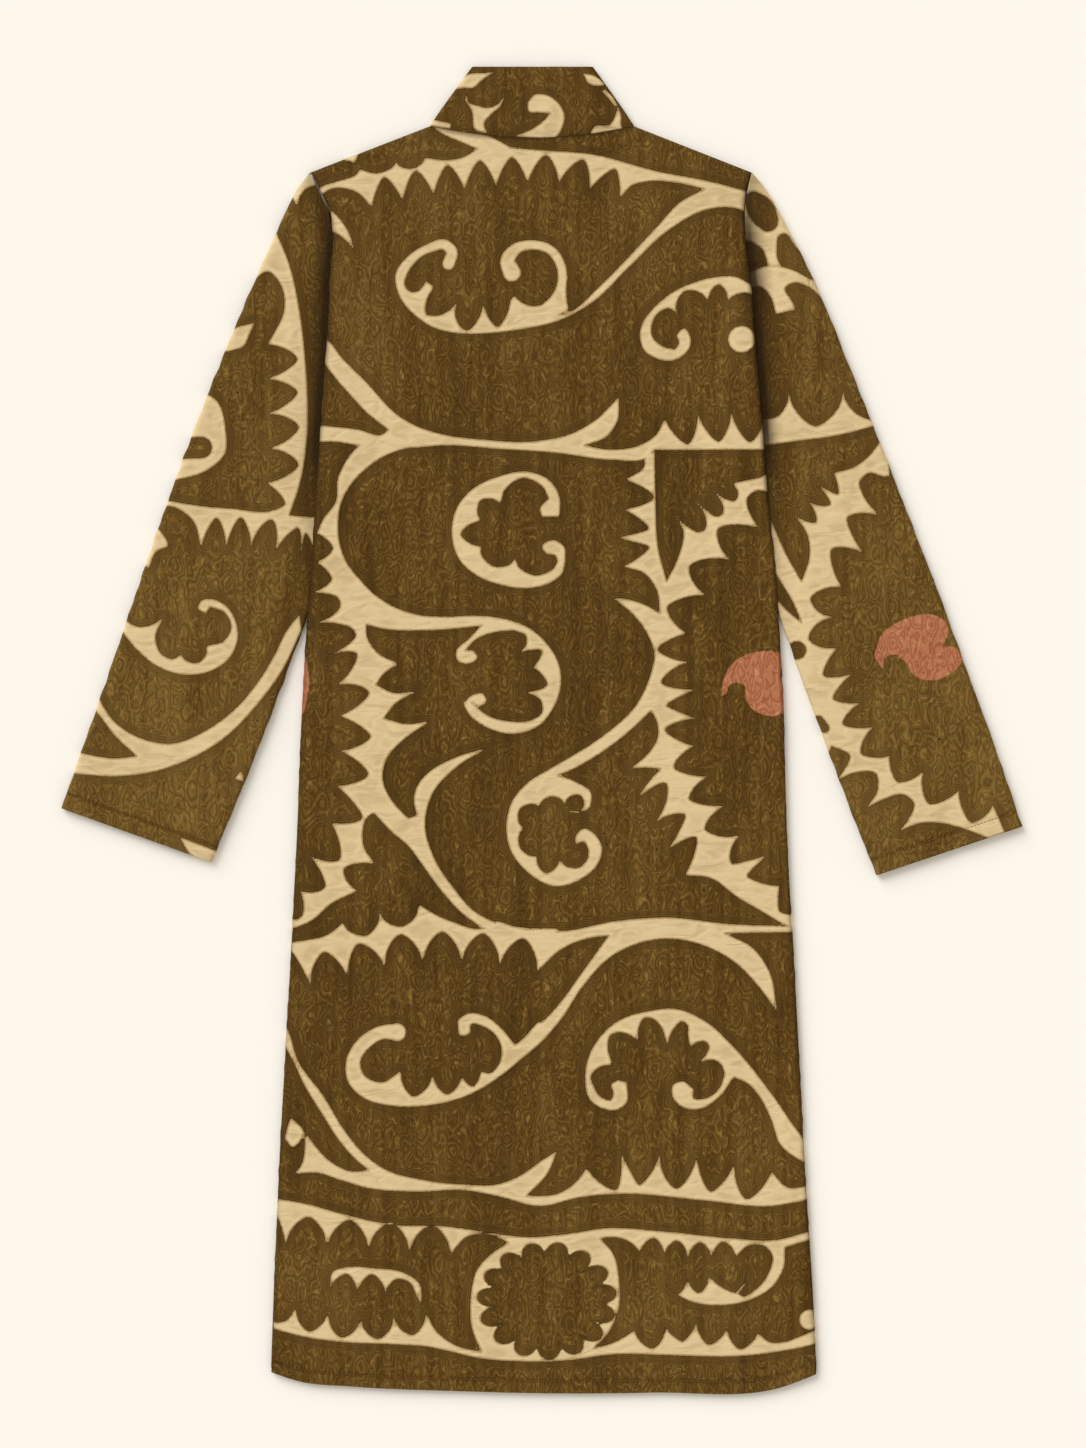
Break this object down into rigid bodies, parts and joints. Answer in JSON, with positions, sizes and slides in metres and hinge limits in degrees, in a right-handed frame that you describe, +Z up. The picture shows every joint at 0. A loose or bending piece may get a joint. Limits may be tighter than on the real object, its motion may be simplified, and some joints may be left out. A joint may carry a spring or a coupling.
{
  "type": "kaftan",
  "caption": "Long kaftan coat with wide set-in sleeves and a stand collar, laid flat with its back uppermost, in cloth embroidered all over with scrolls.",
  "frame": {"origin": "centre of the overall bounding box across and along the garment, on the surface it lies on", "axes": "+Y from the hem to the collar, +X to the right of the back as seen from above, +Z up from the surface it lies on"},
  "size_m": [0.864, 1.1926, 0.0094],
  "materials": {
    "embroidered_cloth": "matt"
  },
  "bodies": {
    "root": {"back": "embroidered_cloth", "front_left": "embroidered_cloth", "front_right": "embroidered_cloth", "sleeve_left": "embroidered_cloth", "sleeve_right": "embroidered_cloth", "collar": "embroidered_cloth"}
  },
  "joints": []
}
